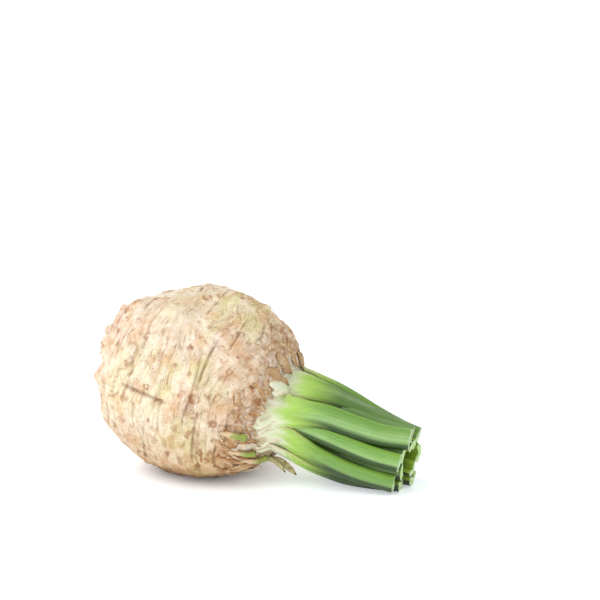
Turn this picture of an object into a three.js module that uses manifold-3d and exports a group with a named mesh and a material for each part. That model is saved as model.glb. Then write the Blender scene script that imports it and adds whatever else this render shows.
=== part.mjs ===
// Celeriac root with its leaf stalks cut short, lying on its side.
//
// Units are millimetres, +Z is up. The origin is on the ground, under the middle of the bulb, in the small
// flat spot that it rests on. The stalks point along +X and dip down to the ground, and the trimmed side
// roots point along -X. "Near" means towards -Y.
//
// Places on the bulb are given as polar and around, in degrees. Polar is measured from the growth axis: 0 is
// the crown, where the stalks grow, and 180 is the root end. Around turns about that axis: 0 is the top, 90
// the near side, 180 the underside and 270 the far side.

import * as THREE from "three";
import { mergeVertices } from "three/addons/utils/BufferGeometryUtils.js";
import Module from "manifold-3d";

const wasm = await Module();
wasm.setup();

// ---- Driving dimensions ----

const BULB_HALF_LENGTH = 65; // along the growth axis
const BULB_HALF_WIDTH = 61; // across it
const BULB_SQUARENESS = 2.2; // 2 is an ellipsoid, more is boxier
const BULB_HEIGHT = 58.5; // of the bulb's centre over the ground
const BULB_FACETS = 12; // subdivisions of each icosahedron edge
const GROWTH_DIP = 14; // degrees that the growth axis dips towards the crown

const CROWN_DISTANCE = 58; // from the bulb's centre to the ring of stalk bases, along X
const CROWN_HEIGHT = 44;
const BUNDLE_DISTANCE = 139; // from the bulb's centre to the middle of the cut ends, along X
const BUNDLE_HEIGHT = 21;

const STALK_SIDES = 14;
const STALK_STEPS = 12;
const STALK_BACK = 0.62; // depth of a stalk's back, as a share of its thickness
const STALK_FRONT = 0.5; // depth of its inner face
const GROOVE_DEPTH = 0.45; // of the groove along the inner face, as a share of that depth
const GROOVE_WIDTH = 0.45; // as a share of half the stalk's width
const SHOOT_SIDES = 10;
const SHOOT_STEPS = 5;
const SCRAP_SIDES = 8;
const SCRAP_STEPS = 7;
const SCALE_THICKNESS = 1.1;
const SCALE_TAPER = 0.35; // how much narrower a scale is at its tip
const GAP = 0.35; // left between pieces that touch
const GROUND_WIDTH = 600; // of the block under the part that its flat spot is cut with
const GROUND_DEPTH = 40;

const SKIN = { color: 0xdcc39c, roughness: 0.85, metalness: 0 };
const STALK = { color: 0x7fb04a, roughness: 0.45, metalness: 0 };
const SHOOT = { color: 0x8ba63f, roughness: 0.6, metalness: 0 };
const HUSK = { color: 0xa87f52, roughness: 0.9, metalness: 0 };

// ---- Frames ----

const rad = THREE.MathUtils.degToRad;
const GROWTH = new THREE.Vector3(Math.cos(rad(GROWTH_DIP)), 0, -Math.sin(rad(GROWTH_DIP)));
const TOPSIDE = new THREE.Vector3(Math.sin(rad(GROWTH_DIP)), 0, Math.cos(rad(GROWTH_DIP)));
const NEARSIDE = new THREE.Vector3(0, -1, 0);
const CENTRE = new THREE.Vector3(0, 0, BULB_HEIGHT);
const CROWN = new THREE.Vector3(CROWN_DISTANCE, 0, CROWN_HEIGHT);
const BUNDLE_END = new THREE.Vector3(BUNDLE_DISTANCE, 0, BUNDLE_HEIGHT);
const BUNDLE_AXIS = BUNDLE_END.clone().sub(CROWN).normalize();
const BUNDLE_UP = new THREE.Vector3(-BUNDLE_AXIS.z, 0, BUNDLE_AXIS.x);

// A point from a start and distances along directions: place(start, [direction, distance], ...).
function place(start, ...steps) {
  const point = start.clone();
  for (const [direction, distance] of steps) {
    point.addScaledVector(direction, distance);
  }
  return point;
}

function direction(polar, around) {
  const across = Math.sin(rad(polar));
  return place(
    new THREE.Vector3(),
    [GROWTH, Math.cos(rad(polar))],
    [TOPSIDE, across * Math.cos(rad(around))],
    [NEARSIDE, across * Math.sin(rad(around))],
  );
}

// ---- The bulb ----

// Swellings and hollows: where, how wide in degrees, and how high in millimetres. These few are placed by eye.
const FEATURES = [
  { polar: 150, around: 15, spread: 12, height: 4.5 }, // the high corner of the root end
  { polar: 120, around: 0, spread: 18, height: -4.5 }, // the hollow before it
  { polar: 75, around: 0, spread: 15, height: 3 }, // the shoulder over the stalks
  { polar: 60, around: 180, spread: 15, height: -6 }, // drawn in under the crown
  { polar: 105, around: 180, spread: 25, height: 3 }, // the belly it rests on
];

// The cleft across the near side: a row of small hollows between two places.
const CLEFT = { from: [120, 90], to: [90, 90], count: 4, spread: 7, height: -2.5 };

// Gentle lobes everywhere else, spread evenly by the golden angle, swelling and sinking by a sine.
const EVEN_LOBES = { count: 26, first: 55, last: 158, turn: 137.508, spread: 14, height: 2.6, pace: 2.1 };

function cleftLobes({ from, to, count, spread, height }) {
  return Array.from({ length: count }, (_, i) => {
    const t = i / (count - 1);
    const polar = THREE.MathUtils.lerp(from[0], to[0], t);
    const around = THREE.MathUtils.lerp(from[1], to[1], t);
    return { polar, around, spread, height };
  });
}

function evenLobes({ count, first, last, turn, spread, height, pace }) {
  const { degToRad, lerp, radToDeg } = THREE.MathUtils;
  return Array.from({ length: count }, (_, i) => {
    const along = lerp(Math.cos(degToRad(first)), Math.cos(degToRad(last)), (i + 0.5) / count);
    const polar = radToDeg(Math.acos(along));
    return { polar, around: (i * turn) % 360, spread, height: height * Math.sin(i * pace) };
  });
}

const LOBES = [...FEATURES, ...cleftLobes(CLEFT), ...evenLobes(EVEN_LOBES)];

// Side roots, trimmed close, in an uneven ring round the root end. Each stands out between the two values of
// out, and its radius and its place vary a little.
const STUB_RING = { count: 12, polar: 157, sway: 9, out: [1, 4], radius: [5, 6.2], lean: 12 };

// A number from 0 to 1 that changes from one item to the next without repeating.
function vary(i, pace) {
  return 0.5 + 0.5 * Math.sin(i * pace);
}

const ROOT_STUBS = Array.from({ length: STUB_RING.count }, (_, i) => ({
  polar: STUB_RING.polar + STUB_RING.sway * (2 * vary(i, 1.7) - 1),
  around: (360 / STUB_RING.count) * (i + 0.4 * vary(i, 2.4)),
  out: THREE.MathUtils.lerp(...STUB_RING.out, vary(i, 2.1)),
  radius: THREE.MathUtils.lerp(...STUB_RING.radius, vary(i, 1.3)),
  lean: STUB_RING.lean * (2 * vary(i, 0.9) - 1),
}));

const lobeDirections = LOBES.map((lobe) => direction(lobe.polar, lobe.around));

// The bulb's radius along a unit direction, before the flat spot is cut.
function bulbRadius(unit) {
  const along = Math.abs(unit.dot(GROWTH)) / BULB_HALF_LENGTH;
  const across = Math.sqrt(Math.max(0, 1 - unit.dot(GROWTH) ** 2)) / BULB_HALF_WIDTH;
  let radius = (along ** BULB_SQUARENESS + across ** BULB_SQUARENESS) ** (-1 / BULB_SQUARENESS);
  LOBES.forEach((lobe, i) => {
    const angle = unit.angleTo(lobeDirections[i]) / rad(lobe.spread);
    radius += lobe.height * Math.exp(-angle * angle);
  });
  return radius;
}

function bulbPoint(polar, around, lift = 0) {
  const unit = direction(polar, around);
  return place(CENTRE, [unit, bulbRadius(unit) + lift]);
}

// The bulb's bare shape, standing out by grow all over.
function bulbGeometry(grow, facets) {
  const geometry = new THREE.IcosahedronGeometry(1, facets);
  const position = geometry.getAttribute("position");
  const unit = new THREE.Vector3();
  for (let i = 0; i < position.count; i++) {
    unit.fromBufferAttribute(position, i).normalize();
    const point = place(CENTRE, [unit, bulbRadius(unit) + grow]);
    position.setXYZ(i, point.x, point.y, point.z);
  }
  return geometry;
}

// A trimmed side root: a short cone with a rounded cut end, its foot inside the bulb.
function stubGeometry({ polar, around, out, radius, lean }) {
  const foot = 12;
  const profile = [
    [0, -foot],
    [radius * 1.7, -foot],
    [radius * 1.35, -foot / 3],
    [radius * 1.05, out * 0.5],
    [radius * 0.8, out * 0.92],
    [radius * 0.45, out],
    [0, out],
  ].map(([x, y]) => new THREE.Vector2(x, y));
  const geometry = new THREE.LatheGeometry(profile, 12);
  const heading = direction(polar - lean, around);
  geometry.applyQuaternion(new THREE.Quaternion().setFromUnitVectors(new THREE.Vector3(0, 1, 0), heading));
  const base = bulbPoint(polar, around);
  return geometry.translate(base.x, base.y, base.z);
}

// ---- Sweeps: leaf stalks and side shoots ----

// Each stalk's route goes from inside the crown to its cut end, as [x, near, z] along its middle. Width and
// thickness are [base, middle, cut end]. Faces is where its outer face looks, in degrees about the bundle, at
// the base and at the cut end: 0 is up and 90 the near side. Outer stalks come first.
const STALKS = [
  {
    name: "leaf_stalk_upper_near",
    route: [
      [46, 31, 54], [58, 28, 52], [72, 25.5, 50.5], [90, 21.5, 48], [108, 17, 42],
      [124, 13.5, 37.5], [141.5, 10.6, 35.6],
    ],
    width: [27, 16, 13],
    thick: [5, 9, 9],
    faces: [82, 66],
  },
  {
    name: "leaf_stalk_lower_near",
    route: [
      [46, 27, 35], [60, 23, 33], [74, 22, 28.5], [87, 20, 22], [102, 17, 15], [118, 14.5, 10.3],
      [132, 12.2, 7.2],
    ],
    width: [25, 13.5, 12],
    thick: [5, 8, 8],
    faces: [116, 112],
  },
  {
    name: "leaf_stalk_top",
    route: [
      [46, 13, 73], [62, 11, 66.5], [80, 7, 60.5], [100, 1, 51], [119, -2, 42.5],
      [142.5, -4.5, 34],
    ],
    width: [30, 19, 13],
    thick: [5, 8, 9],
    faces: [46, -12],
  },
  {
    name: "leaf_stalk_bottom_near",
    route: [
      [46, 17, 25], [60, 14, 20], [72, 12, 15.5], [84, 10, 11.5], [100, 8, 7], [118, 5.5, 5],
      [134, 3.5, 4.5],
    ],
    width: [24, 15, 12],
    thick: [4.5, 8, 8],
    faces: [150, 170],
  },
  {
    name: "leaf_stalk_bottom_far",
    route: [
      [46, -16, 24], [60, -14, 19], [84, -11.5, 11], [110, -10, 7], [138.5, -9, 5.5],
    ],
    width: [25, 14, 12],
    thick: [4.5, 7, 8],
    faces: [205, 192],
  },
  {
    name: "leaf_stalk_far",
    route: [
      [46, -30, 41], [60, -26, 38.5], [86, -20, 31], [112, -14.5, 24.5], [141, -11, 21],
    ],
    width: [26, 15, 12],
    thick: [5, 8, 8.5],
    faces: [262, 262],
  },
  {
    name: "leaf_stalk_upper_far",
    route: [
      [46, -25, 68], [60, -22.5, 62.5], [84, -19, 54], [112, -15, 42], [139.5, -12.5, 30.5],
    ],
    width: [27, 16, 12],
    thick: [5, 8, 8.5],
    faces: [318, 298],
  },
  {
    name: "leaf_stalk_near",
    route: [
      [52, 14, 45], [64, 18, 43], [77, 21.5, 40.5], [88, 22, 37.5], [102, 20, 32], [118, 17.5, 26],
      [136.2, 14.8, 21.7],
    ],
    width: [12, 12.5, 11.5],
    thick: [6, 8, 8],
    faces: [95, 95],
  },
  {
    name: "leaf_stalk_inner_top",
    route: [
      [54, 3, 55], [76, 7, 54.5], [98, 6, 48.5], [120, 4, 40.5], [141, 2.8, 36],
    ],
    width: [15, 12, 11.5],
    thick: [6, 8, 8],
    faces: [20, 20],
  },
  {
    name: "leaf_stalk_inner_low",
    route: [
      [54, 7, 34], [76, 11, 28], [98, 11.5, 20.5], [118, 10.5, 16], [136, 8.5, 14],
    ],
    width: [12, 11, 10.5],
    thick: [6, 7.5, 7.5],
    faces: [115, 100],
  },
  {
    name: "leaf_stalk_inner_near",
    route: [
      [54, 7, 44], [76, 12, 40], [98, 11, 33], [118, 9.5, 27.5], [136.5, 7.5, 24.5],
    ],
    width: [12, 11, 11],
    thick: [6, 7.5, 7.5],
    faces: [80, 80],
  },
  {
    name: "leaf_stalk_inner_far",
    route: [
      [54, -8, 38], [76, -8, 31], [106, -5, 20.5], [140, -2.5, 13.5],
    ],
    width: [13, 11, 10.5],
    thick: [6, 7.5, 7.5],
    faces: [230, 220],
  },
  {
    name: "leaf_stalk_heart",
    route: [
      [54, -3, 47], [80, -1, 43], [110, -0.5, 33.5], [140, 0, 27.5],
    ],
    width: [9, 8.5, 8.5],
    thick: [6, 7, 7.5],
    faces: [0, 0],
  },
];

// Cut shoots low on the near side of the crown, from the bulb's skin outwards. Each starts nearer the crown
// and further down than the one before it, and points further down.
const SHOOT_ROW = { polar: 56, around: 100, nearer: 6, lower: 15, reach: 15, turn: 2, turnMore: 7 };

const SHOOTS = ["high", "middle", "low"].map((name, i) => {
  const polar = SHOOT_ROW.polar - SHOOT_ROW.nearer * i;
  const around = SHOOT_ROW.around + SHOOT_ROW.lower * i;
  const to = [polar - SHOOT_ROW.reach, around + SHOOT_ROW.turn + SHOOT_ROW.turnMore * i];
  return { name: `side_shoot_${name}`, from: [polar, around], to, lift: [0.6, 4], width: 5, thick: 3.6 };
});

// The value at t of a smooth curve through [start, middle, end].
function blend([start, middle, end], t) {
  return t < 0.5
    ? THREE.MathUtils.lerp(start, middle, THREE.MathUtils.smoothstep(t, 0, 0.5))
    : THREE.MathUtils.lerp(middle, end, (t - 0.5) * 2);
}

// A closed sweep: a capped cylinder whose rings are laid along a curve. sectionAt(t, angle) is the rim point
// [across, outward] and outwardAt(t) the direction that its outer face looks in.
function sweepGeometry(curve, outwardAt, sectionAt, sides, steps, grow) {
  const geometry = new THREE.CylinderGeometry(1, 1, 1, sides, steps);
  const position = geometry.getAttribute("position");
  const from = new THREE.Vector3();
  for (let i = 0; i < position.count; i++) {
    from.fromBufferAttribute(position, i);
    const t = from.y + 1 / 2;
    const along = curve.getTangent(t);
    const across = new THREE.Vector3().crossVectors(outwardAt(t), along).normalize();
    const outward = new THREE.Vector3().crossVectors(along, across);
    const [x, y] = sectionAt(t, Math.atan2(from.z, from.x));
    const rim = Math.hypot(from.x, from.z) * (1 + grow / Math.hypot(x, y));
    const atAnEnd = Math.abs(from.y) > 1 / 2 - 1e-6;
    const beyond = atAnEnd ? Math.sign(from.y) * grow : 0;
    const point = place(curve.getPoint(t), [across, x * rim], [outward, -y * rim], [along, beyond]);
    position.setXYZ(i, point.x, point.y, point.z);
  }
  return geometry;
}

// The rim of a leaf stalk's section: a rounded back, a shallower inner face, and a groove along it.
function stalkSection(width, thick, angle) {
  const outer = Math.sin(angle) < 0;
  const groove = GROOVE_DEPTH * Math.exp(-((Math.cos(angle) / GROOVE_WIDTH) ** 2));
  const depth = outer ? STALK_BACK : STALK_FRONT * (1 - groove);
  return [(width / 2) * Math.cos(angle), thick * depth * Math.sin(angle)];
}

function routeCurve(route) {
  return new THREE.CatmullRomCurve3(route.map(([x, near, z]) => new THREE.Vector3(x, -near, z)));
}

function stalkGeometry({ route, width, thick, faces }, grow) {
  const looksAt = (t) => {
    const turn = rad(THREE.MathUtils.lerp(faces[0], faces[1], t));
    return place(new THREE.Vector3(), [BUNDLE_UP, Math.cos(turn)], [NEARSIDE, Math.sin(turn)]);
  };
  const section = (t, angle) => stalkSection(blend(width, t), blend(thick, t), angle);
  return sweepGeometry(routeCurve(route), looksAt, section, STALK_SIDES, STALK_STEPS, grow);
}

function shootGeometry({ from, to, lift, width, thick }, grow) {
  const middle = [(from[0] + to[0]) / 2, (from[1] + to[1]) / 2];
  const curve = new THREE.QuadraticBezierCurve3(
    bulbPoint(...from, lift[0]),
    bulbPoint(...middle, lift[0] + thick / 2),
    bulbPoint(...to, lift[1]),
  );
  const looks = direction(...middle);
  const section = (t, angle) => stalkSection(width * (1 - 0.3 * t), thick * (1 + 0.2 * t), angle);
  return sweepGeometry(curve, () => looks, section, SHOOT_SIDES, SHOOT_STEPS, grow);
}

// ---- Dry leaf-base scales and scraps ----

// A scale lies along the bulb from its foot at polar to its tip, reach millimetres nearer the crown, and its
// tip lifts off. Turn slants it, in degrees.
const SCALE_RING = {
  count: 14, from: 117, step: 22, polar: 41, lowPolar: 53, lowAround: 140, lowSpread: 35,
  reach: [15.5, 18], width: [8.5, 11.5], lift: [1.5, 3], turn: 10,
};

const SCALES = Array.from({ length: SCALE_RING.count }, (_, i) => {
  const around = SCALE_RING.from + SCALE_RING.step * i;
  const low = Math.exp(-(((around - SCALE_RING.lowAround) / SCALE_RING.lowSpread) ** 2));
  return {
    around,
    polar: THREE.MathUtils.lerp(SCALE_RING.polar, SCALE_RING.lowPolar, low),
    reach: THREE.MathUtils.lerp(...SCALE_RING.reach, vary(i, 2.0)),
    width: THREE.MathUtils.lerp(...SCALE_RING.width, vary(i, 1.7)),
    lift: THREE.MathUtils.lerp(...SCALE_RING.lift, vary(i, 1.1)),
    turn: SCALE_RING.turn * (2 * vary(i, 2.3) - 1),
  };
});

// A lens of a scale, bent to follow the bulb's skin.
function scaleGeometry({ around, polar, reach, width, lift, turn }) {
  const geometry = new THREE.SphereGeometry(1, 10, 6);
  const position = geometry.getAttribute("position");
  const skin = bulbRadius(direction(polar, around));
  const perDegree = skin * rad(1);
  for (let i = 0; i < position.count; i++) {
    const [along, through, across] = [position.getX(i), position.getY(i), position.getZ(i)];
    const t = (along + 1) / 2;
    const forward = reach * t;
    const aside = across * (width / 2) * (1 - SCALE_TAPER * t) + forward * Math.tan(rad(turn));
    const turned = aside / (perDegree * Math.sin(rad(polar)));
    const height = GAP + SCALE_THICKNESS * (0.75 + through / 2) + lift * t * t;
    const point = bulbPoint(polar - forward / perDegree, around + turned, height);
    position.setXYZ(i, point.x, point.y, point.z);
  }
  return geometry;
}

// Dry leaves that hang under the crown: a route, and the strip's width and thickness.
const SCRAPS = [
  {
    name: "dry_leaf_curl",
    route: [[53, 16, 17], [60, 17.5, 15.5], [66, 18, 11], [70.5, 18.5, 8]],
    width: 4.4,
    thick: 1.8,
  },
  {
    name: "dry_leaf_strip",
    route: [[49, 19, 18], [56, 19.5, 15.5], [61, 20, 12], [64, 20.5, 9.5]],
    width: 3.4,
    thick: 1.5,
  },
];

function scrapGeometry({ route, width, thick }, grow) {
  const widest = 0.4; // how far along the strip
  const taper = (t) => Math.sqrt(Math.max(0.12, 1 - ((t - widest) / (1 - widest)) ** 2));
  const section = (t, angle) => stalkSection(width * taper(t), thick, angle);
  const up = new THREE.Vector3(0, 0, 1);
  return sweepGeometry(routeCurve(route), () => up, section, SCRAP_SIDES, SCRAP_STEPS, grow);
}

// ---- Solids ----

function solidOf(geometry) {
  const bare = geometry.clone();
  bare.deleteAttribute("normal");
  bare.deleteAttribute("uv");
  const merged = mergeVertices(bare, 1e-3);
  return new wasm.Manifold(
    new wasm.Mesh({
      numProp: 3,
      vertProperties: merged.getAttribute("position").array,
      triVerts: new Uint32Array(merged.index.array),
    }),
  );
}

// A solid less what it would overlap. Only its largest body is kept, where a cut leaves slivers.
function cutBy(solid, cutters) {
  for (const cutter of cutters) {
    solid = solid.subtract(cutter);
  }
  return solid.decompose().sort((a, b) => b.volume() - a.volume())[0];
}

function addMesh(group, name, solid, look) {
  const made = solid.getMesh();
  const geometry = new THREE.BufferGeometry();
  geometry.setAttribute("position", new THREE.BufferAttribute(made.vertProperties, 3));
  geometry.setIndex(new THREE.BufferAttribute(made.triVerts, 1));
  geometry.computeVertexNormals();
  const mesh = new THREE.Mesh(geometry, new THREE.MeshStandardMaterial(look));
  mesh.name = name;
  group.add(mesh);
}

const celeriac = new THREE.Group();
const groundBox = new THREE.BoxGeometry(GROUND_WIDTH, GROUND_WIDTH, GROUND_DEPTH);
const ground = solidOf(groundBox.translate(0, 0, -GROUND_DEPTH / 2));
const bulbClearance = solidOf(bulbGeometry(GAP, BULB_FACETS));

let bulb = solidOf(bulbGeometry(0, BULB_FACETS));
for (const stub of ROOT_STUBS) {
  bulb = bulb.add(solidOf(stubGeometry(stub)));
}
addMesh(celeriac, "root_bulb", cutBy(bulb, [ground]), SKIN);

// Pieces are seated in this order, and each is cut back from those before it.
const seated = [];
function seat(name, build, look) {
  const solid = cutBy(solidOf(build(0)), [bulbClearance, ...seated, ground]);
  seated.push(solidOf(build(GAP)));
  addMesh(celeriac, name, solid, look);
}
for (const stalk of STALKS) {
  seat(stalk.name, (grow) => stalkGeometry(stalk, grow), STALK);
}
for (const shoot of SHOOTS) {
  seat(shoot.name, (grow) => shootGeometry(shoot, grow), SHOOT);
}
for (const scrap of SCRAPS) {
  seat(scrap.name, (grow) => scrapGeometry(scrap, grow), HUSK);
}
SCALES.forEach((scale, i) => {
  const solid = cutBy(solidOf(scaleGeometry(scale)), [bulbClearance, ...seated, ground]);
  addMesh(celeriac, `dry_scale_${String(i + 1).padStart(2, "0")}`, solid, HUSK);
});

export default celeriac;
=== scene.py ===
import math

import bpy
import numpy as np
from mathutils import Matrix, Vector
from mathutils.kdtree import KDTree


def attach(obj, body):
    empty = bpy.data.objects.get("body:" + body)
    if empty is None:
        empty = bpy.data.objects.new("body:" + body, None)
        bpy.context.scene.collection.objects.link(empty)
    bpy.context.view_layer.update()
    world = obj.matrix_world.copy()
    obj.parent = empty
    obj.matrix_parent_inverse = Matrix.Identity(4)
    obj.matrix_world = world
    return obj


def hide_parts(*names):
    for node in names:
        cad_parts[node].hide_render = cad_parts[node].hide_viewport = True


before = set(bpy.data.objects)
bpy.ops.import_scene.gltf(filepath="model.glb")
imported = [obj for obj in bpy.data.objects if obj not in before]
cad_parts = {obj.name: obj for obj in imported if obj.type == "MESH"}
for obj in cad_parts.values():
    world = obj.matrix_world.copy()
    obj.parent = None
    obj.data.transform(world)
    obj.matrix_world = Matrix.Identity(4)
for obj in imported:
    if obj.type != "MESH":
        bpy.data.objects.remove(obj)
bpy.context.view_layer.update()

MM = 0.001

# ---- The part's frame: the same dimensions, in millimetres, that the CAD part is built on ----

BULB_HALF_LENGTH = 65.0
BULB_HALF_WIDTH = 61.0
BULB_SQUARENESS = 2.2
BULB_HEIGHT = 58.5
GROWTH_DIP = math.radians(14)
CENTRE = np.array([0.0, 0.0, BULB_HEIGHT])
GROWTH = np.array([math.cos(GROWTH_DIP), 0.0, -math.sin(GROWTH_DIP)])
TOPSIDE = np.array([math.sin(GROWTH_DIP), 0.0, math.cos(GROWTH_DIP)])
NEARSIDE = np.array([0.0, -1.0, 0.0])
CROWN = np.array([58.0, 0.0, 44.0])
BUNDLE_END = np.array([139.0, 0.0, 21.0])
BUNDLE_AXIS = (BUNDLE_END - CROWN) / np.linalg.norm(BUNDLE_END - CROWN)
BUNDLE_UP = np.array([-BUNDLE_AXIS[2], 0.0, BUNDLE_AXIS[0]])


def unit_from(polar, around):
    """Unit directions from the bulb's middle, from degrees off the growth axis and degrees round it."""
    polar, around = np.radians(polar), np.radians(around)
    across = np.sin(polar)
    return (
        np.multiply.outer(np.cos(polar), GROWTH)
        + np.multiply.outer(across * np.cos(around), TOPSIDE)
        + np.multiply.outer(across * np.sin(around), NEARSIDE)
    )


# ---- Noise ----


def hashed(i, j, k, seed):
    h = (i * 73856093) ^ (j * 19349663) ^ (k * 83492791) ^ (seed * 668265263)
    h = ((h ^ (h >> 13)) * 1274126177) & 0x7FFFFFFF
    h = ((h ^ (h >> 15)) * 1103515245) & 0x7FFFFFFF
    return (h ^ (h >> 11)) / 0x7FFFFFFF * 2 - 1


def noise(points, seed):
    """Smooth value noise from -1 to 1, with one lattice cell to a unit."""
    cell = np.floor(points).astype(np.int64)
    f = points - cell
    w = f * f * f * (f * (f * 6 - 15) + 10)
    total = np.zeros(len(points))
    for dx in (0, 1):
        for dy in (0, 1):
            for dz in (0, 1):
                weight = np.ones(len(points))
                for axis, d in enumerate((dx, dy, dz)):
                    weight = weight * (w[:, axis] if d else 1 - w[:, axis])
                total += weight * hashed(cell[:, 0] + dx, cell[:, 1] + dy, cell[:, 2] + dz, seed)
    return total


def layered(points, seed, octaves=3):
    total, gain = np.zeros(len(points)), 1.0
    for octave in range(octaves):
        total += gain * noise(points * 2.03**octave + 17.3 * octave, seed + octave)
        gain *= 0.5
    return total


def ramp(x, low, high):
    t = np.clip((x - low) / (high - low), 0, 1)
    return t * t * (3 - 2 * t)


def bell(x, width):
    return np.exp(-((x / width) ** 2))


# ---- Colours ----


def linear(red, green, blue):
    """A colour given as 8-bit sRGB, in linear light."""
    c = np.array([red, green, blue]) / 255
    return np.where(c <= 0.04045, c / 12.92, ((c + 0.055) / 1.055) ** 2.4)


def mixed(base, colour, amount):
    amount = np.clip(amount, 0, 1)[:, None]
    return base * (1 - amount) + colour * amount


def tinted(base, rgb, amount):
    return mixed(base, linear(*rgb), amount)


# ---- Mesh helpers ----


def mesh_object(name, points_mm, faces, smooth=True):
    """A piece from points in millimetres, in the part's frame."""
    mesh = bpy.data.meshes.new(name)
    mesh.from_pydata((np.asarray(points_mm) * MM).tolist(), [], [list(f) for f in faces])
    mesh.validate()
    mesh.update()
    if smooth:
        mesh.shade_smooth()
    piece = bpy.data.objects.new(name, mesh)
    bpy.context.scene.collection.objects.link(piece)
    return piece


def paint(piece, name, colours):
    """Stores a colour for each vertex."""
    rgba = np.ones((len(colours), 4), np.float32)
    rgba[:, :3] = colours
    attribute = piece.data.color_attributes.new(name, "FLOAT_COLOR", "POINT")
    attribute.data.foreach_set("color", rgba.ravel())


def measure(piece, name, vectors):
    """Stores a vector for each vertex."""
    attribute = piece.data.attributes.new(name, "FLOAT_VECTOR", "POINT")
    attribute.data.foreach_set("vector", np.asarray(vectors, np.float32).ravel())


# ---- Materials ----


class Nodes:
    """Short calls for building a material's node tree."""

    def __init__(self, name):
        self.material = bpy.data.materials.new(name)
        self.material.use_nodes = True
        self.tree = self.material.node_tree
        self.tree.nodes.clear()
        self.output = self.add("ShaderNodeOutputMaterial")
        self.shader = self.add("ShaderNodeBsdfPrincipled")
        self.link(self.shader.outputs["BSDF"], self.output.inputs["Surface"])

    def add(self, kind, **settings):
        node = self.tree.nodes.new(kind)
        for key, value in settings.items():
            setattr(node, key, value)
        return node

    def link(self, source, target):
        self.tree.links.new(source, target)

    def attribute(self, name):
        return self.add("ShaderNodeAttribute", attribute_name=name)

    def place(self, scale, attribute=None):
        """Coordinates for a texture: the piece's own, or a vector stored on its vertices."""
        mapping = self.add("ShaderNodeMapping")
        mapping.inputs["Scale"].default_value = scale
        if attribute:
            self.link(self.attribute(attribute).outputs["Vector"], mapping.inputs["Vector"])
        else:
            coordinates = self.add("ShaderNodeTexCoord")
            self.link(coordinates.outputs["Object"], mapping.inputs["Vector"])
        return mapping.outputs["Vector"]

    def noise(self, where, scale, detail=3.0, roughness=0.55):
        node = self.add("ShaderNodeTexNoise")
        node.inputs["Scale"].default_value = scale
        node.inputs["Detail"].default_value = detail
        node.inputs["Roughness"].default_value = roughness
        self.link(where, node.inputs["Vector"])
        return node.outputs["Fac"]

    def spots(self, where, scale):
        node = self.add("ShaderNodeTexVoronoi")
        node.inputs["Scale"].default_value = scale
        self.link(where, node.inputs["Vector"])
        return node.outputs["Distance"]

    def span(self, value, low, high, to_low=0.0, to_high=1.0):
        node = self.add("ShaderNodeMapRange")
        node.interpolation_type = "SMOOTHSTEP"
        for key, number in zip(("From Min", "From Max", "To Min", "To Max"), (low, high, to_low, to_high)):
            node.inputs[key].default_value = number
        self.link(value, node.inputs["Value"])
        return node.outputs["Result"]

    def math(self, operation, a, b):
        node = self.add("ShaderNodeMath", operation=operation)
        for socket, value in zip(node.inputs, (a, b)):
            if isinstance(value, (int, float)):
                socket.default_value = value
            else:
                self.link(value, socket)
        return node.outputs["Value"]

    def mix(self, amount, a, b, blend="MIX"):
        node = self.add("ShaderNodeMix", data_type="RGBA", blend_type=blend)
        for socket, value in ((node.inputs["Factor"], amount), (node.inputs["A"], a), (node.inputs["B"], b)):
            if isinstance(value, (int, float)):
                socket.default_value = value
            elif isinstance(value, (tuple, np.ndarray)):
                socket.default_value = (*value[:3], 1.0)
            else:
                self.link(value, socket)
        return node.outputs["Result"]

    def bump(self, height, strength, distance_mm):
        node = self.add("ShaderNodeBump")
        node.inputs["Strength"].default_value = strength
        node.inputs["Distance"].default_value = distance_mm * MM
        self.link(height, node.inputs["Height"])
        self.link(node.outputs["Normal"], self.shader.inputs["Normal"])

    def set(self, **values):
        for key, value in values.items():
            self.shader.inputs[key.replace("_", " ")].default_value = value


def skin_material():
    """Dry, matt root skin: the painted tint, with fine mottling, brown specks and grain."""
    m = Nodes("celeriac_skin")
    where = m.place((1, 1, 1))
    tint = m.attribute("tint").outputs["Color"]
    mottle = m.noise(where, 260, 4)
    grain = m.noise(where, 1100, 3, 0.65)
    specks = m.span(m.spots(where, 330), 0.10, 0.24, 1, 0)
    rings = m.place((1.0, 0.16, 0.16), "rings")
    wander = m.math("ABSOLUTE", m.math("SUBTRACT", m.noise(rings, 0.42, 3, 0.5), 0.5), 0)
    lines = m.math("MULTIPLY", m.span(wander, 0.0, 0.028, 1, 0), m.span(m.noise(where, 75, 2), 0.42, 0.6))
    specks = m.math("MULTIPLY", specks, m.span(m.noise(where, 60, 2), 0.5, 0.66))
    light = m.mix(m.span(mottle, 0.3, 0.7), linear(226, 208, 184), linear(255, 253, 250))
    colour = m.mix(0.55, tint, light, "MULTIPLY")
    colour = m.mix(m.span(grain, 0.42, 0.72, 0, 0.35), colour, linear(176, 128, 84))
    colour = m.mix(m.math("MULTIPLY", specks, 0.55), colour, linear(128, 82, 48))
    colour = m.mix(m.math("MULTIPLY", lines, 0.62), colour, linear(150, 104, 62))
    m.link(colour, m.shader.inputs["Base Color"])
    m.link(m.span(mottle, 0.25, 0.75, 0.9, 0.62), m.shader.inputs["Roughness"])
    relief = m.math("ADD", m.math("MULTIPLY", mottle, 0.6), m.math("MULTIPLY", grain, 0.4))
    m.bump(m.math("SUBTRACT", relief, m.math("MULTIPLY", lines, 0.5)), 0.6, 0.5)
    m.set(Specular_IOR_Level=0.3, Subsurface_Weight=0.08, Subsurface_Scale=0.003)
    m.shader.inputs["Subsurface Radius"].default_value = (1.0, 0.6, 0.35)
    return m.material


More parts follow.
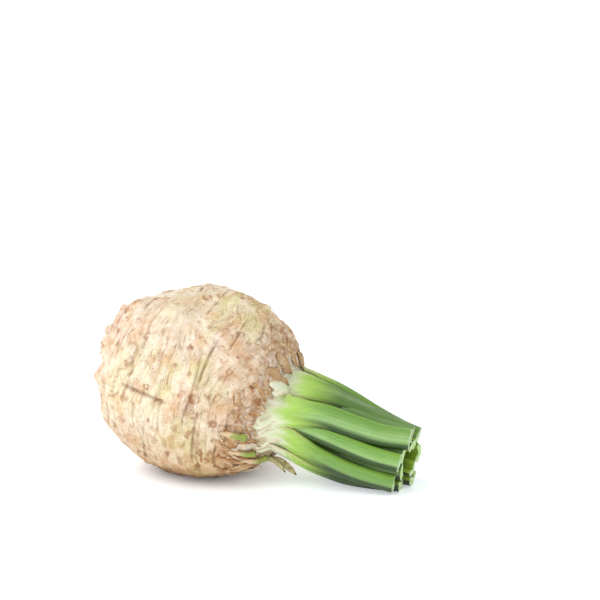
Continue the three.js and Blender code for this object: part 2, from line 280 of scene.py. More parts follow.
def stalk_material():
    """Smooth, slightly waxy stalk: the painted tint, with fine fibres running along it."""
    m = Nodes("leaf_stalk_green")
    fibres = m.place((1.0, 0.05, 1.0), "along")
    where = m.place((1, 1, 1))
    tint = m.attribute("tint").outputs["Color"]
    fine = m.noise(fibres, 1.6, 3, 0.6)
    soft = m.noise(where, 90, 3)
    colour = m.mix(m.span(fine, 0.35, 0.7, 0, 0.5), tint, m.mix(1.0, tint, linear(206, 222, 190), "MULTIPLY"))
    lighter = m.mix(1.0, tint, linear(235, 240, 215), "MULTIPLY")
    colour = m.mix(m.span(soft, 0.35, 0.75, 0, 0.4), colour, lighter)
    m.link(colour, m.shader.inputs["Base Color"])
    m.link(m.span(soft, 0.3, 0.7, 0.34, 0.5), m.shader.inputs["Roughness"])
    m.bump(fine, 0.25, 0.25)
    m.set(Specular_IOR_Level=0.45, Subsurface_Weight=0.12, Subsurface_Scale=0.003)
    m.shader.inputs["Subsurface Radius"].default_value = (0.5, 1.0, 0.25)
    return m.material


def husk_material():
    """Dry leaf: the painted tint, fibrous and matt."""
    m = Nodes("dry_leaf")
    fibres = m.place((1.0, 0.08, 1.0), "along")
    tint = m.attribute("tint").outputs["Color"]
    fine = m.noise(fibres, 2.2, 3, 0.6)
    darker = m.mix(1.0, tint, linear(168, 140, 112), "MULTIPLY")
    colour = m.mix(m.span(fine, 0.35, 0.72, 0, 0.8), tint, darker)
    m.link(colour, m.shader.inputs["Base Color"])
    m.link(m.span(fine, 0.3, 0.7, 0.95, 0.7), m.shader.inputs["Roughness"])
    m.bump(fine, 0.6, 0.35)
    m.set(Specular_IOR_Level=0.25)
    return m.material


SKIN = skin_material()
STALK = stalk_material()
HUSK = husk_material()


def finish_piece(piece, material, slot, *nodes):
    piece.data.materials.append(material)
    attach(piece, "root")
    if nodes:
        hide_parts(*nodes)


# ---- The bulb ----

GRID = 128  # quads along each edge of the cube that is blown up into the bulb
ARC = 62.0  # millimetres of skin to a radian


def cube_sphere(n):
    """Unit directions and quads of a cube blown up to a sphere, spread evenly."""
    steps = np.tan(np.linspace(-math.pi / 4, math.pi / 4, n + 1))
    a, b = np.meshgrid(steps, steps, indexing="ij")
    one = np.ones_like(a)
    sides = [(one, a, b), (-one, b, a), (b, one, a), (a, -one, b), (a, b, one), (b, a, -one)]
    points = np.concatenate([np.stack(side, -1).reshape(-1, 3) for side in sides])
    points /= np.linalg.norm(points, axis=1)[:, None]
    _, first, index = np.unique(np.round(points, 6), axis=0, return_index=True, return_inverse=True)
    index = index.ravel()
    corner = np.arange((n + 1) * n).reshape(n, n + 1)[:, :n].ravel()
    quads = np.stack([corner, corner + n + 1, corner + n + 2, corner + 1], 1)
    quads = np.concatenate([quads + side * (n + 1) ** 2 for side in range(6)])
    return points[first], index[quads]


# Swellings and hollows of the bulb: polar and around, how wide in degrees, and how high in millimetres.
FEATURES = [
    (150, 15, 12, 4.5),  # the high corner of the root end
    (120, 0, 18, -4.5),  # the hollow before it
    (75, 0, 15, 3),  # the shoulder over the stalks
    (60, 180, 15, -6),  # drawn in under the crown
    (105, 180, 25, 3),  # the belly it rests on
]
# The cleft across the near side: a row of small hollows.
CLEFT = [(polar, 90, 7, -2.5) for polar in np.linspace(120, 90, 4)]


def even_lobes(count, first, last, turn, spread, height, pace):
    """Gentle lobes spread evenly by the golden angle, as in the CAD."""
    lobes = []
    for i in range(count):
        start, end = math.cos(math.radians(first)), math.cos(math.radians(last))
        polar = math.degrees(math.acos(start + (end - start) * (i + 0.5) / count))
        lobes.append((polar, (i * turn) % 360, spread, height * math.sin(i * pace)))
    return lobes


LOBES = FEATURES + CLEFT + even_lobes(26, 55, 158, 137.508, 14, 2.6, 2.1)


def vary(i, pace):
    """A number from 0 to 1 that changes from one item to the next without repeating, as in the CAD."""
    return 0.5 + 0.5 * math.sin(i * pace)


def between(low, high, share):
    return low + (high - low) * share


# Trimmed side roots: polar and around, how far they stand out, and their radius, as in the CAD.
STUBS = 12
ROOT_STUBS = [
    (
        157 + 9 * (2 * vary(i, 1.7) - 1), 360 / STUBS * (i + 0.4 * vary(i, 2.4)),
        between(1, 4, vary(i, 2.1)), between(5, 6.2, vary(i, 1.3)),
    )
    for i in range(STUBS)
]


def angle_to(unit, polar, around):
    """The angle in radians from each direction to the one at polar and around."""
    return np.arccos(np.clip(unit @ unit_from(polar, around), -1, 1))


def bulb_radius(unit):
    """The CAD bulb's radius along each direction, in millimetres, before its flat spot is cut."""
    cos_polar = unit @ GROWTH
    along = np.abs(cos_polar) / BULB_HALF_LENGTH
    across = np.sqrt(np.maximum(0, 1 - cos_polar**2)) / BULB_HALF_WIDTH
    radius = (along**BULB_SQUARENESS + across**BULB_SQUARENESS) ** (-1 / BULB_SQUARENESS)
    for polar, around, spread, height in LOBES:
        radius = radius + height * bell(angle_to(unit, polar, around), math.radians(spread))
    return radius


def drawn(seed, count, *ranges):
    """Seeded draws of one value from each range: the first two are polar and around."""
    rng = np.random.default_rng(seed)
    return [tuple(rng.uniform(low, high) for low, high in ranges) for _ in range(count)]


def drawn_paths(seed, count, polar_range, span, *ranges):
    """Seeded paths that run round the bulb with a little sway, each with one value from each range."""
    rng = np.random.default_rng(seed)
    paths = []
    for _ in range(count):
        polar, around = rng.uniform(*polar_range), rng.uniform(0, 360)
        length, sway = rng.uniform(*span), rng.uniform(-5, 5)
        path = [(polar + sway * math.sin(2.5 * t), around + length * t) for t in (0, 0.33, 0.67, 1)]
        paths.append((path, *(rng.uniform(low, high) for low, high in ranges)))
    return paths


ALL_ROUND = (0, 360)
# Scars and patches: polar, around and size in millimetres. Marks also have how dark they are.
SCARS = drawn(31, 60, (58, 145), ALL_ROUND, (1.2, 3.2))
TAN_PATCHES = drawn(32, 34, (42, 62), ALL_ROUND, (4, 7)) + drawn(33, 40, (62, 150), ALL_ROUND, (4, 6))
PALE_PATCHES = drawn(34, 26, (85, 135), ALL_ROUND, (5, 10))
PAPERY_PATCHES = drawn(35, 16, (33, 43), ALL_ROUND, (3, 5))
GREEN_PATCHES = drawn(36, 34, (60, 92), ALL_ROUND, (5, 9))
# Bands of yellow-green, which follow the rings: a path and a half width in millimetres.
GREEN_BANDS = drawn_paths(37, 9, (66, 100), (40, 75), (4.5, 6.5))
BROWN_MARKS = drawn(38, 90, (45, 148), ALL_ROUND, (1.4, 3.4), (0.4, 0.9))
# Brown rings round old root scars: polar, around, size and how dark.
RING_MARKS = drawn(39, 50, (58, 138), ALL_ROUND, (1.8, 3.2), (0.4, 0.9))
# Folds and cracks: a path, then the width and depth in millimetres and how dark it is, which is partly the
# cracks' own brown and partly painted shade. The cleft comes first.
FOLDS = [([(polar, around) for polar, around, _, _ in CLEFT], 1.8, 0.8, 0.9)]
FOLDS += drawn_paths(40, 60, (50, 145), (10, 45), (0.6, 1.2), (0.4, 0.9), (0.4, 0.9))
# Ridges and notches of the root end: a path, then the width and height in millimetres.
RIDGES = drawn_paths(41, 8, (135, 160), (15, 35), (3, 4.5), (1.2, 1.8))
RIDGES += drawn_paths(42, 10, (125, 160), (10, 25), (1.4, 2.4), (-2.4, -1.4))
RANDOM_SCARS = 150
ROOT_END_SCARS = 70


def blobs(unit, patches, soft):
    """How much each direction lies in the patches, from 0 to 1, with an edge broken up by soft."""
    amount = np.zeros(len(unit))
    for polar, around, size in patches:
        distance = angle_to(unit, polar, around) * ARC
        amount = np.maximum(amount, bell(distance * (1 + 0.45 * soft), size))
    return amount


def path_distance(unit, path):
    """The distance in millimetres over the skin to a path, and how far along it, from 0 to 1."""
    points = unit_from(*np.array(path, float).T) * ARC
    best = np.full(len(unit), 1e9)
    along = np.zeros(len(unit))
    spot = unit * ARC
    for i in range(len(points) - 1):
        leg = points[i + 1] - points[i]
        t = np.clip((spot - points[i]) @ leg / (leg @ leg), 0, 1)
        distance = np.linalg.norm(spot - points[i] - t[:, None] * leg, axis=1)
        near = distance < best
        best = np.where(near, distance, best)
        along = np.where(near, (i + t) / (len(points) - 1), along)
    return best, along


def random_scars(rng):
    """Root scars all over, more of them towards the root end, as [polar, around, size]."""
    scars = []
    for _ in range(RANDOM_SCARS):
        polar = math.degrees(math.acos(rng.uniform(-0.98, 0.55)))
        scars.append((polar, rng.uniform(0, 360), rng.uniform(0.7, 1.9)))
    for _ in range(ROOT_END_SCARS):
        polar = 180 - abs(rng.normal(0, 26))
        scars.append((polar, rng.uniform(0, 360), rng.uniform(1.2, 3.6)))
    return scars


# The polar angle of the edge of the pale collar of sheaths, and of the frayed, brown zone round it.
COLLAR_EDGE = 36
CROWN_EDGE = 56
SKIN_TREE = KDTree(6 * GRID * GRID + 2)
SKIN_RADII = []


def build_bulb():
    unit, quads = cube_sphere(GRID)
    radius = bulb_radius(unit)
    for stub_polar, stub_around, out, size in ROOT_STUBS:
        distance = angle_to(unit, stub_polar, stub_around) * ARC
        radius = radius + out * (1 - ramp(distance, 0.45 * size, 1.5 * size))
    for path, width, height in RIDGES:
        radius = radius + height * bell(path_distance(unit, path)[0], width)
    spot = unit * radius[:, None]
    cos_polar = np.clip(unit @ GROWTH, -1, 1)
    polar = np.arccos(cos_polar)
    side, top = spot @ NEARSIDE, spot @ TOPSIDE
    skin = polar * ARC
    around = np.degrees(np.arctan2(unit @ NEARSIDE, unit @ TOPSIDE)) % 360
    crown_edge = CROWN_EDGE + 4 * noise(spot / 6, 16)
    # 1 in the leaf-scarred zone round the stalks
    crown = 1 - ramp(np.degrees(polar), crown_edge - 9, crown_edge + 2)
    edge = COLLAR_EDGE
    inside = edge + 2.5 * noise(spot / 4, 15) - np.degrees(polar)  # degrees inside the sheaths' collar
    collar = ramp(inside, 0, 2.5)
    radius = radius - 1.3 * ramp(inside, 0, 6)
    rooty = ramp(polar, 2.1, 2.75)  # 1 at the root end

    # Knobs and hollows
    lift = 0.95 * layered(spot / 17, 11) + 0.4 * noise(spot / 6.5, 14)
    lift += rooty * 1.25 * layered(spot / 8, 21)
    root_gaps = ramp(-layered(spot / 7, 22), 0.05, 0.5) * rooty
    lift -= 0.7 * root_gaps

    # Wrinkles that run round the bulb
    warp = 4.0 * noise(spot / 24, 31) + 1.5 * noise(spot / 8.5, 32)
    rings = np.stack([(skin + warp) / 3.1, top / 17, side / 17], 1)
    fine_rings = np.stack([(skin + 1.6 * warp) / 1.5, top / 10, side / 10], 1)
    ring, fine_ring = noise(rings, 41), noise(fine_rings, 42)
    patchy = ramp(noise(spot / 15, 43), -0.25, 0.35)
    crease = bell(ring, 0.10) * patchy
    fine_crease = bell(fine_ring, 0.10) * ramp(noise(spot / 11, 44), -0.1, 0.4)
    lift += 0.32 * ring - 0.35 * crease + 0.10 * fine_ring - 0.16 * fine_crease
    lift += crown * (1 - collar) * (0.6 * ring + 0.3 * fine_ring + 0.55 * layered(spot / 3.4, 45))

    across_axis = np.maximum(np.hypot(top, side), 1)
    fan = np.stack([top / across_axis * 24, side / across_axis * 24, skin / 8], 1)
    fibres, thick_fibres = noise(fan, 46), noise(fan * 0.45, 47)
    frayed = crown * (1 - collar)
    lift += 0.25 * collar * fibres
    lift += frayed * (0.45 * fibres + 0.5 * thick_fibres)

    soft = noise(spot / 3.2, 51)
    rim = np.zeros(len(unit))
    pit = np.zeros(len(unit))
    blush = np.zeros(len(unit))
    rng = np.random.default_rng(7)
    for number, (scar_polar, scar_around, size) in enumerate(SCARS + random_scars(rng)):
        away = unit @ unit_from(scar_polar, scar_around)
        near = np.where(away > math.cos(3.2 * size / ARC))[0]
        offset = spot[near] - unit_from(scar_polar, scar_around) * radius[near][:, None]
        along = offset @ GROWTH
        distance = np.sqrt(np.maximum((offset**2).sum(1) + 0.8 * along**2, 0)) * (1 + 0.35 * soft[near])
        bold = number < len(SCARS)
        kind = rng.uniform()  # low: a bare bump, middle: a broken ring, high: a ring with a dark pit
        force = (1.5 if bold else 1.0) * size**0.6 * (1.35 if scar_polar > 140 else 1.0)
        lift[near] += 0.38 * force * bell(distance - size, 0.4 * size)
        lift[near] -= 0.36 * force * bell(distance, 0.5 * size)
        turned = np.arctan2(offset @ TOPSIDE, along)
        broken = ramp(np.sin(turned * 1.5 + number) + 0.8 * soft[near], -0.5, 0.5)
        shade = 1.0 if bold else 0.75
        if bold or kind > 0.3:
            ring_mark = shade * broken * bell(distance - size * 0.9, max(0.2 * size, 0.35))
            rim[near] = np.maximum(rim[near], ring_mark)
        if kind > 0.55:
            pit[near] = np.maximum(pit[near], shade * bell(distance, max(0.28 * size, 0.4)))
        blush[near] = np.maximum(blush[near], bell(distance, size))

    dark = np.zeros(len(unit))
    for path, width, depth, darkness in FOLDS:
        distance, along = path_distance(unit, path)
        distance = distance + 0.35 * soft
        fade = np.sqrt(np.clip(4 * along * (1 - along) + 0.25, 0, 1))
        cut = bell(distance, width) * fade
        lift -= depth * cut
        lift += 0.35 * depth * bell(distance - 1.9 * width, width) * fade
        dark = np.maximum(dark, darkness * bell(distance, width * 0.75) * fade)

    radius = radius + lift
    points = CENTRE + unit * radius[:, None]
    points[:, 2] = np.maximum(points[:, 2], 0.02)

    # Colours
    streak = noise(np.stack([(skin + warp) / 7, top / 26, side / 26], 1), 61)
    thin_streak = noise(np.stack([(skin + 1.3 * warp) / 2.2, top / 14, side / 14], 1), 62)
    colour = np.tile(linear(237, 222, 204), (len(unit), 1))
    colour = tinted(colour, (244, 234, 214), ramp(layered(spot / 20, 63), -0.3, 0.7))
    colour = tinted(colour, (228, 194, 158), 0.7 * ramp(layered(spot / 9, 64), 0.05, 0.8))
    colour = tinted(colour, (245, 238, 224), 0.85 * blobs(unit, PALE_PATCHES, soft))
    green = 0.9 * blobs(unit, GREEN_PATCHES, noise(spot / 9, 65))
    for path, width in GREEN_BANDS:
        green = np.maximum(green, 0.95 * bell(path_distance(unit, path)[0] + 2.5 * streak, width))
    green += 0.35 * ramp(noise(spot / 30, 66), 0, 0.6)
    green = green * (1 - 0.8 * rooty) * (1 - 0.7 * crown)
    colour = tinted(colour, (222, 217, 163), green * (0.48 + 0.47 * ramp(streak, -0.5, 0.4)))
    colour = tinted(colour, (205, 185, 125), 0.45 * ramp(thin_streak, 0.05, 0.6) * (0.3 + green))
    colour = tinted(colour, (219, 176, 134), 0.62 * blobs(unit, TAN_PATCHES, noise(spot / 5, 67)))
    blotch = layered(spot / 4.5, 75)
    crown = crown * (1 - collar)
    # Painted brown over the crown zone: partly its own colour, partly painted shade for the gaps between the
    # flakes.
    colour = tinted(colour, (202, 162, 118), crown * (0.3 + 0.45 * ramp(blotch, -0.5, 0.4)))
    colour = tinted(colour, (160, 106, 62), 0.8 * crown * ramp(blotch + 0.5 * fibres, 0.2, 0.8))
    # Painted shade: darkest in the hollows between the fibres.
    colour = tinted(colour, (120, 78, 44), 0.6 * frayed * ramp(-fibres, 0.3, 0.75))
    low_side = frayed * bell((around + 180) % 360 - 180 - 124, 30)
    fibrous = ramp(fibres + 0.6 * thick_fibres, -0.25, 0.5)
    colour = tinted(colour, (128, 88, 52), 0.7 * low_side * fibrous)
    colour = tinted(colour, (226, 212, 190), 0.7 * crown * ramp(noise(spot / 3.5, 68), 0.05, 0.5))
    colour = tinted(colour, (224, 216, 210), 0.8 * blobs(unit, PAPERY_PATCHES, soft))
    colour = tinted(colour, (226, 222, 204), 0.92 * collar)
    colour = tinted(colour, (196, 176, 146), 0.6 * collar * ramp(fibres, 0.15, 0.6))
    # Painted shade: a brown line along the collar's edge, where the sheaths leave the skin.
    colour = tinted(colour, (140, 96, 58), 0.7 * bell(inside + 0.6, 1.3) * ramp(blotch, -0.4, 0.3))
    colour = tinted(colour, (214, 160, 112), 0.5 * rooty * ramp(layered(spot / 6, 69), -0.2, 0.7))
    far_side = 1 - 0.6 * ramp(unit @ NEARSIDE, 0.2, 0.6)
    colour = tinted(colour, (170, 116, 72), 0.5 * root_gaps * far_side)
    colour = tinted(colour, (160, 118, 76), 0.5 * crease + 0.35 * fine_crease)
    colour = tinted(colour, (228, 192, 160), 0.4 * blush)
    colour = tinted(colour, (166, 106, 60), 0.85 * rim)
    colour = tinted(colour, (128, 80, 46), 0.75 * pit)
    fray_break = 0.5 * noise(spot / 1.6, 78) + 0.5 * noise(rings * 2.2, 79)
    for number, (mark_polar, mark_around, size, strength) in enumerate(BROWN_MARKS + RING_MARKS):
        distance = angle_to(unit, mark_polar, mark_around) * ARC
        blurred = distance * (1 + 0.35 * soft)
        if number < len(BROWN_MARKS):
            body = bell(blurred, 1.15 * size)
        else:
            body = np.maximum(bell(blurred - 0.8 * size, 0.3 * size), 0.8 * bell(blurred, 0.25 * size))
        mark = strength * ramp(body * (0.75 + 1.3 * fray_break), 0.2, 0.75)
        colour = tinted(colour, (156, 98, 54), np.where(distance < 3 * size, mark, 0))
    # Darker along the folds: partly the cracks' own brown, partly painted shade in the creases.
    colour = tinted(colour, (122, 76, 44), 0.85 * dark)
    # Painted shade: the skin is darkened towards the bottom, and darkest right down by the floor as a painted
    # shadow where it touches.
    under = 1 - ramp(points[:, 2] + 5 * noise(spot / 12, 70), 0, 60)
    colour = mixed(colour, colour * linear(216, 203, 184), 0.95 * under)
    colour = tinted(colour, (176, 134, 94), 0.3 * (1 - ramp(points[:, 2], 1, 14)))
    contact_shadow = 1 - ramp(points[:, 2] + 3 * noise(spot / 6, 77), 0, 11)
    colour = tinted(colour, (116, 84, 58), 0.7 * contact_shadow)

    piece = mesh_object("celeriac_bulb", points, quads)
    paint(piece, "tint", colour)
    measure(piece, "rings", np.stack([skin + warp, top, side], 1))
    for i, direction in enumerate(unit):
        SKIN_TREE.insert(direction, i)
    SKIN_TREE.balance()
    SKIN_RADII.extend(radius)
    finish_piece(piece, SKIN, "root_skin", "root_bulb")
    return piece


def skin_point(polar, around, lift):
    """Points over the finished skin, and the directions of them from the bulb's middle."""
    unit = unit_from(np.asarray(polar, float), np.asarray(around, float))
    radii = np.array([SKIN_RADII[SKIN_TREE.find(direction)[1]] for direction in np.atleast_2d(unit)])
    return CENTRE + unit * (radii + lift)[:, None], unit


# ---- Leaf stalks ----

# The routes, as in the CAD, as (x, near, z); then width and thickness at the base, middle and cut end, and
# where the outer face looks. These numbers are open: they came from another program.
STALKS = [
    ("upper_near", [(46, 31, 54), (58, 28, 52), (72, 25.5, 50.5), (90, 21.5, 48), (108, 17, 42),
        (124, 13.5, 37.5), (141.5, 10.6, 35.6)], (27, 16, 13), (5, 9, 9), (82, 66)),
    ("lower_near", [(46, 27, 35), (60, 23, 33), (74, 22, 28.5), (87, 20, 22), (102, 17, 15),
        (118, 14.5, 10.3), (132, 12.2, 7.2)], (25, 13.5, 12), (5, 8, 8), (116, 112)),
    ("top", [(46, 13, 73), (62, 11, 66.5), (80, 7, 60.5), (100, 1, 51), (119, -2, 42.5),
        (142.5, -4.5, 34)], (30, 19, 13), (5, 8, 9), (46, -12)),
    ("bottom_near", [(46, 17, 25), (60, 14, 20), (72, 12, 15.5), (84, 10, 11.5), (100, 8, 7),
        (118, 5.5, 5), (134, 3.5, 4.5)], (24, 15, 12), (4.5, 8, 8), (150, 170)),
    ("bottom_far", [(46, -16, 24), (60, -14, 19), (84, -11.5, 11), (110, -10, 7), (138.5, -9, 5.5)],
        (25, 14, 12), (4.5, 7, 8), (205, 192)),
    ("far", [(46, -30, 41), (60, -26, 38.5), (86, -20, 31), (112, -14.5, 24.5), (141, -11, 21)],
        (26, 15, 12), (5, 8, 8.5), (262, 262)),
    ("upper_far", [(46, -25, 68), (60, -22.5, 62.5), (84, -19, 54), (112, -15, 42), (139.5, -12.5, 30.5)],
        (27, 16, 12), (5, 8, 8.5), (318, 298)),
    ("near", [(52, 14, 45), (64, 18, 43), (77, 21.5, 40.5), (88, 22, 37.5), (102, 20, 32),
        (118, 17.5, 26), (136.2, 14.8, 21.7)], (12, 12.5, 11.5), (6, 8, 8), (95, 95)),
    ("inner_top", [(54, 3, 55), (76, 7, 54.5), (98, 6, 48.5), (120, 4, 40.5), (141, 2.8, 36)],
        (15, 12, 11.5), (6, 8, 8), (20, 20)),
    ("inner_low", [(54, 7, 34), (76, 11, 28), (98, 11.5, 20.5), (118, 10.5, 16), (136, 8.5, 14)],
        (12, 11, 10.5), (6, 7.5, 7.5), (115, 100)),
    ("inner_near", [(54, 7, 44), (76, 12, 40), (98, 11, 33), (118, 9.5, 27.5), (136.5, 7.5, 24.5)],
        (12, 11, 11), (6, 7.5, 7.5), (80, 80)),
    ("inner_far", [(54, -8, 38), (76, -8, 31), (106, -5, 20.5), (140, -2.5, 13.5)],
        (13, 11, 10.5), (6, 7.5, 7.5), (230, 220)),
    ("heart", [(54, -3, 47), (80, -1, 43), (110, -0.5, 33.5), (140, 0, 27.5)],
        (9, 8.5, 8.5), (6, 7, 7.5), (0, 0)),
]
# Outer stalks whose sheaths start on the skin, at this polar angle, facing the way their bases do.
SHEATHED = {"upper_near", "lower_near", "top", "far"}
SHEATH_POLAR = 38
# How light each stalk is beside the lightest ones: partly each stalk's own shade of green, partly painted
# shade, which darkens the top stalk and the stalks low down and deep in the bundle.
STALK_TONES_AND_SHADE = {
    "top": 0.6, "upper_near": 0.94, "near": 1.06, "lower_near": 0.94, "bottom_near": 0.42, "upper_far": 0.7,
    "far": 0.5, "bottom_far": 0.4, "inner_top": 0.7, "inner_low": 0.45, "inner_near": 0.55, "inner_far": 0.4,
    "heart": 0.45,
}
PALE_BASES = {"top": 6, "near": -14}  # how many millimetres further the pale base reaches
INNER_STALKS = {"near", "inner_top", "inner_low", "inner_near", "inner_far", "heart"}


def route_points(route, t):
    """Points at t, from 0 to 1, on the centripetal Catmull-Rom curve through [x, near, z] points."""
    knots = np.array([(x, -near, z) for x, near, z in route], float)
    knots = np.concatenate([[2 * knots[0] - knots[1]], knots, [2 * knots[-1] - knots[-2]]])
    legs = len(route) - 1
    index = np.minimum((t * legs).astype(int), legs - 1)
    w = (t * legs - index)[:, None]
    p0, p1, p2, p3 = (knots[index + i] for i in range(4))
    d0, d1, d2 = (np.linalg.norm(b - a, axis=1)[:, None] ** 0.5 for a, b in ((p0, p1), (p1, p2), (p2, p3)))
    m1 = ((p1 - p0) / d0 - (p2 - p0) / (d0 + d1) + (p2 - p1) / d1) * d1
    m2 = ((p2 - p1) / d1 - (p3 - p1) / (d1 + d2) + (p3 - p2) / d2) * d1
    return p1 + w * m1 + w**2 * (-3 * p1 + 3 * p2 - 2 * m1 - m2) + w**3 * (2 * p1 - 2 * p2 + m1 + m2)


def blend_three(values, t):
    start, middle, end = values
    first = start + (middle - start) * ramp(t, 0, 0.5)
    return np.where(t < 0.5, first, middle + (end - middle) * (t - 0.5) * 2)


def sweep_frames(route, facing, t):
    """Centre line, direction, and the across and outward directions at each t."""
    centre = route_points(route, t)
    step = 1e-3
    ahead, behind = route_points(route, np.minimum(t + step, 1)), route_points(route, np.maximum(t - step, 0))
    along = ahead - behind
    along /= np.linalg.norm(along, axis=1)[:, None]
    across = np.cross(facing, along)
    across /= np.linalg.norm(across, axis=1)[:, None]
    return centre, along, across, np.cross(along, across)


def tube_faces(rings, sides):
    """Quads of a tube of rings."""
    ring = np.arange(rings - 1)[:, None] * sides
    j = np.arange(sides)[None, :]
    after = (j + 1) % sides
    return np.stack([ring + j, ring + after, ring + sides + after, ring + sides + j], -1).reshape(-1, 4)


CAP_ROWS = 6


def cap(points, ring_start, sides, outward, hollow, flip):
    """Closes one end of a tube. Points on the back and on the inner face that lie across from each other are
    joined by a strip. Returns new points, faces and how deep in the cut each new point lies, from 0 to 1."""
    half = sides // 2
    ring = points[ring_start:ring_start + sides]
    start = len(points)
    new, depth = [], []
    index = np.empty((half + 1, CAP_ROWS + 1), int)
    index[0] = ring_start
    index[half] = ring_start + half
    for i in range(1, half):
        index[i, 0] = ring_start + i
        index[i, CAP_ROWS] = ring_start + sides - i
        for k in range(1, CAP_ROWS):
            w = k / CAP_ROWS
            inner = min(w, 1 - w, 0.35 * i, 0.35 * (half - i)) * 2
            new.append(ring[i] * (1 - w) + ring[sides - i] * w - outward * hollow * min(inner, 1))
            depth.append(min(inner, 1))
            index[i, k] = start + len(new) - 1
    faces = []
    for i in range(half):
        for k in range(CAP_ROWS):
            face = [index[i, k], index[i + 1, k], index[i + 1, k + 1], index[i, k + 1]]
            face = list(dict.fromkeys(face))
            if len(face) > 2:
                faces.append(face[::-1] if flip else face)
    return np.array(new), faces, np.array(depth)


STALK_SIDES = 72
STALK_RINGS = 130


def build_stalk(number, name, route, width, thick, faces_degrees):
    outer = name not in INNER_STALKS
    if name in SHEATHED:
        start = skin_point([SHEATH_POLAR], [faces_degrees[0]], -2.2)[0][0]
        route = [(start[0], -start[1], start[2]), *route[1:]]
    sides, rings = STALK_SIDES, STALK_RINGS
    t = np.linspace(0, 1, rings)
    turn = np.radians(faces_degrees[0] + (faces_degrees[1] - faces_degrees[0]) * t)
    facing = np.outer(np.cos(turn), BUNDLE_UP) + np.outer(np.sin(turn), NEARSIDE)
    centre, along, across, outward = sweep_frames(route, facing, t)
    angle = np.arange(sides) * 2 * math.pi / sides
    tt, aa = np.meshgrid(t, angle, indexing="ij")
    w, h = blend_three(width, tt), blend_three(thick, tt)
    c, s = np.cos(aa), np.sin(aa)
    sheath = (1 - ramp(tt, 0.12, 0.5)) if outer else 0 * tt
    thin = 1 - (0.35 * sheath + 0.4 * (1 - ramp(tt, 0.0, 0.16)) if outer else 0)

    x = w / 2 * np.sign(c) * np.abs(c) ** 0.9
    groove = (0.9 - 0.5 * sheath) * bell(c, 0.52) * ramp(tt, 0.0, 0.4)
    y = np.where(s < 0, 0.62 * h * s, 0.5 * h * s * (1 - 1.35 * groove)) * thin
    bend = 62 - 35 * ramp(tt, 0.0, 0.3)
    rise = -y - sheath * x**2 / (2 * bend)
    back = ramp(-s, 0.05, 0.5)
    ribs = np.cos(aa * (11 if outer else 9) * 2 + 0.6 * number)
    rise += 0.17 * ribs * back * (0.5 + 0.5 * ramp(tt, 0.1, 0.5))
    coarse = np.stack([aa.ravel() * 1.2 + number * 9, tt.ravel() * 5, np.full(aa.size, number * 3.7)], 1)
    wobble = noise(coarse, 71).reshape(tt.shape)
    rise += 0.35 * wobble * (1 - 0.5 * sheath)
    ragged_at = np.stack([tt.ravel() * 30, np.sign(c).ravel() * 3 + number, 0 * c.ravel()], 1)
    ragged = noise(ragged_at, 72).reshape(tt.shape)
    x = x * (1 + 0.10 * sheath * ragged * np.abs(c))

    points = (
        centre[:, None, :] + across[:, None, :] * x[..., None] + outward[:, None, :] * rise[..., None]
    ).reshape(-1, 3)
    if outer:  # the torn edge where the sheath leaves the skin
        tear_at = np.stack([c[0] * 5 + number * 7, s[0] * 0.2, 0 * c[0]], 1)
        tear = 2.2 * noise(tear_at, 74) - 1.0 * np.abs(c[0]) ** 2
        points[:sides] -= along[0] * tear[:, None]
    # The cut isn't quite square or flat.
    last = slice((rings - 1) * sides, rings * sides)
    tilt = 0.5 * np.cos(angle + number) + 0.25 * np.cos(3 * angle + 2 * number)
    points[last] += along[-1] * tilt[:, None]

    quads = tube_faces(rings, sides)
    start_new, start_faces, start_depth = cap(points, 0, sides, -along[0], 0.0, True)
    points = np.concatenate([points, start_new])
    end_new, end_faces, end_depth = cap(points, (rings - 1) * sides, sides, along[-1], 0.5, False)
    points = np.concatenate([points, end_new])
    points[:, 2] = np.maximum(points[:, 2], 0.02)

    # Colours: cream at the base, yellow-green, then green, with a painted highlight along the back, and
    # painted shade on edges turned down, on the underside and in the groove
    count = rings * sides
    reach = tt.ravel()
    uneven_at = np.stack([aa.ravel() * 3, reach * 2, np.full(count, number)], 1)
    along_x = points[:count, 0] - PALE_BASES.get(name, 0) + 4 * noise(uneven_at, 73)
    green = np.tile(linear(122, 163, 76), (count, 1))
    # Painted highlight: a pale mint band along the middle of the back.
    green = mixed(green, linear(166, 198, 132), 0.75 * (bell(c + 0.15, 0.42) * back).ravel())
    green = mixed(green, linear(92, 138, 56), 0.5 * ramp(wobble.ravel(), 0.1, 0.7))
    green = mixed(green, linear(100, 146, 60), 0.35 * ramp(-ribs.ravel(), 0, 1) * back.ravel())
    away = (points[:count].reshape(rings, sides, 3) - centre[:, None, :]).reshape(-1, 3)
    away /= np.linalg.norm(away, axis=1)[:, None]
    # Painted light by how each face turns: edges facing up are lightened as a painted highlight, and edges
    # and faces turned down are darkened to near black-green as painted shade.
    edge_on = ramp(np.abs(c), 0.72, 0.96).ravel()
    low_side = ramp(-away[:, 2], -0.35, 0.15)
    green = mixed(green, linear(152, 196, 74), 0.45 * edge_on * (1 - low_side))
    green = mixed(green, linear(36, 68, 6), 0.92 * edge_on * low_side)
    green = mixed(green, linear(26, 52, 2), 0.92 * ramp(-away[:, 2], 0.0, 0.55))
    # Painted shade inside the groove of the inner face.
    green = mixed(green, linear(70, 112, 26), 0.8 * ramp(s, 0.0, 0.5).ravel())
